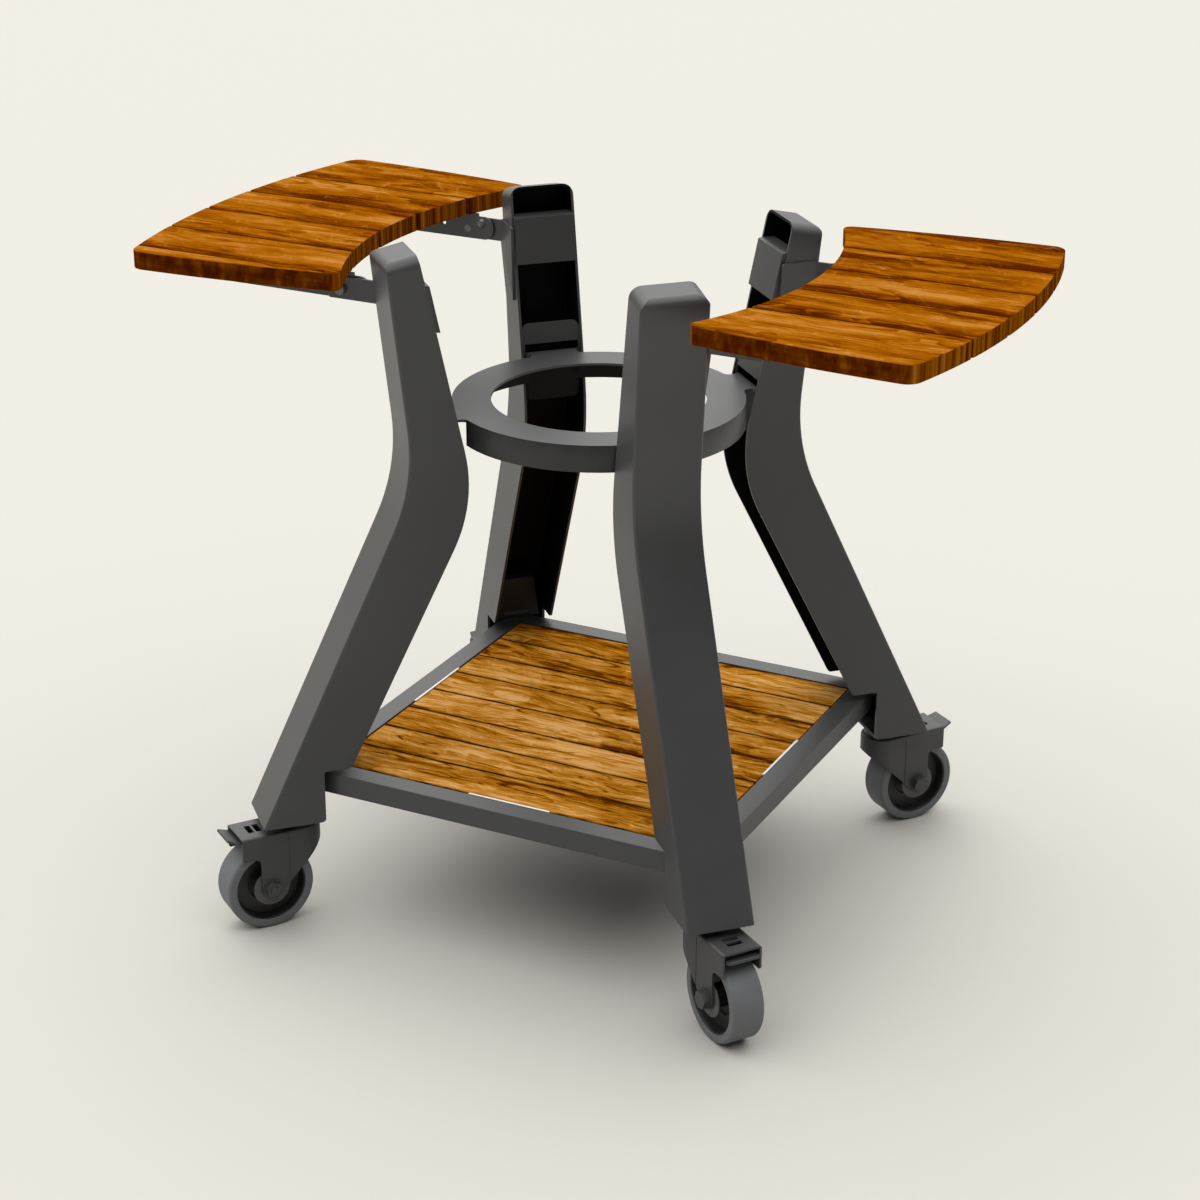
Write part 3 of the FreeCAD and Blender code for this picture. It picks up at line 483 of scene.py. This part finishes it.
for name in NODES:
    if name.startswith("leg_"):
        finish_node(name, LEG_COATS[name[4:]], 0)
    elif name.startswith(("deck_board",)):
        finish_node(name, DECK, 0.0005, 1)
    elif "_board_" in name:
        finish_node(name, SHELF if name.startswith("right") else SHELF_LEFT, 0)
    elif name.endswith("_battens"):
        finish_node(name, BATTEN, 0.001)
    elif name.startswith("tyre_"):
        finish_node(name, TYRE, 0)
    elif name.startswith("hub_"):
        finish_node(name, HUBS[name[4:]], 0.0005)
    elif name.startswith(("fork_", "brake_pedal")):
        finish_node(name, FORK, 0.0004)
    elif name.endswith("_bolts"):
        finish_node(name, BOLT, 0.0003)
    # painted shade: plates deep in the legs and the cradle pads take the darker coat copies
    elif name in ("corner_plates", "caster_plates"):
        finish_node(name, COAT_SHADE, 0.0004)
    elif name == "cradle_pads":
        finish_node(name, COAT_MID, 0.0005)
    elif name == "ring_seats":
        finish_node(name, SEATS, 0.0005)
    elif name == "waist_ring":
        finish_node(name, RING, 0.0005)
    else:
        finish_node(name, COAT, 0.0006)


# ---------------------------------------------------------------------------
# pale shims between the deck's edge and the frame, in the middle of each side
# ---------------------------------------------------------------------------
def shim(name, start, end):
    """Thin strip standing in the gap, its crowned head a little wider than the gap."""
    start, end = Vector(start), Vector(end)
    run = (end - start).normalized()
    side = Vector((0, 0, 1)).cross(run)
    length = (end - start).length
    half, low, top = 0.00088, 0.1765, 0.1853
    bm = bmesh.new()
    loops = []
    cuts = [0.0, 0.0004, 0.0011, 0.0020] + [length * k / 14 for k in range(1, 14)] + [length - 0.0020, length - 0.0011, length - 0.0004, length]
    for u in cuts:
        e = min(u, length - u)
        w = half * (0.35 + 0.65 * math.sqrt(max(0.0, 1 - (1 - min(e / 0.0020, 1.0)) ** 2)))
        h = top - 0.0006 * (1 - math.sqrt(max(0.0, 1 - (1 - min(e / 0.0020, 1.0)) ** 2)))
        ring = []
        cap = 1.55 * w
        prof = [(-w, low), (w, low), (w, 0.18458), (cap, 0.18462)]
        for i in range(7):
            t = math.pi * i / 6
            prof.append((cap * math.cos(t), h - 0.0003 + 0.0003 * math.sin(t)))
        prof += [(-cap, 0.18462), (-w, 0.18458)]
        for a, z in prof:
            p = start + run * u + side * a
            ring.append(bm.verts.new((p.x, p.y, z)))
        loops.append(ring)
    n = len(loops[0])
    for a, b in zip(loops, loops[1:]):
        for i in range(n):
            bm.faces.new((a[i], a[(i + 1) % n], b[(i + 1) % n], b[i]))
    bm.faces.new(loops[0])
    bm.faces.new(list(reversed(loops[-1])))
    bmesh.ops.recalc_face_normals(bm, faces=bm.faces)
    me = bpy.data.meshes.new(name)
    bm.to_mesh(me)
    bm.free()
    for p in me.polygons:
        p.use_smooth = True
    me.materials.append(SHIM)
    o = bpy.data.objects.new(name, me)
    scene.collection.objects.link(o)
    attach(o, "stand")
    return o


GAP = 0.2240
shim("edge_shim_front", (-0.049, -GAP, 0), (0.052, -GAP, 0))
shim("edge_shim_left", (-GAP, -0.041, 0), (-GAP, 0.065, 0))
shim("edge_shim_right", (GAP, -0.036, 0), (GAP, 0.064, 0))
shim("edge_shim_back", (-0.049, GAP, 0), (0.052, GAP, 0))

# ---------------------------------------------------------------------------
# floor and light
# ---------------------------------------------------------------------------
fm, fnet, fb = material("floor", rough=0.9, spec=0.1)
fb.inputs["Base Color"].default_value = (0.500, 0.489, 0.458, 1.0)
bpy.ops.mesh.primitive_plane_add(size=60.0, location=(0, 0, 0))
floor = bpy.context.object
floor.name = "floor"
floor.data.materials.append(fm)

world = bpy.data.worlds.new("world")
scene.world = world
world.use_nodes = True
bg = world.node_tree.nodes.get("Background") or world.node_tree.nodes.new("ShaderNodeBackground")
bg.inputs[0].default_value = (1.0, 0.99, 0.965, 1.0)
# a pale wall behind and to the left, darker towards the front and the right
wnet = Net(world.node_tree)
wd = wnet.new("ShaderNodeVectorMath", operation="DOT_PRODUCT")
wnet.put(wd.inputs[0], wnet.new("ShaderNodeTexCoord").outputs["Generated"])
wd.inputs[1].default_value = (math.cos(math.radians(132.0)), math.sin(math.radians(132.0)), 0.15)
wall = wnet.math("POWER", wnet.math("ADD", wnet.mul(wd.outputs["Value"], 0.5), 0.5, clamp=True), 3.0)
wnet.put(bg.inputs[1], wnet.add(wnet.mul(wall, 0.92), 0.10))


sun_data = bpy.data.lights.new("overhead", "SUN")
sun_data.energy = 4.46
sun_data.angle = math.radians(112.0)
sun_data.color = (1.0, 0.992, 0.97)
sun = bpy.data.objects.new("overhead", sun_data)
scene.collection.objects.link(sun)
sun.rotation_euler = Vector((0.13, -0.10, -1.0)).to_track_quat("-Z", "Y").to_euler()
scene.view_settings.view_transform = "Standard"
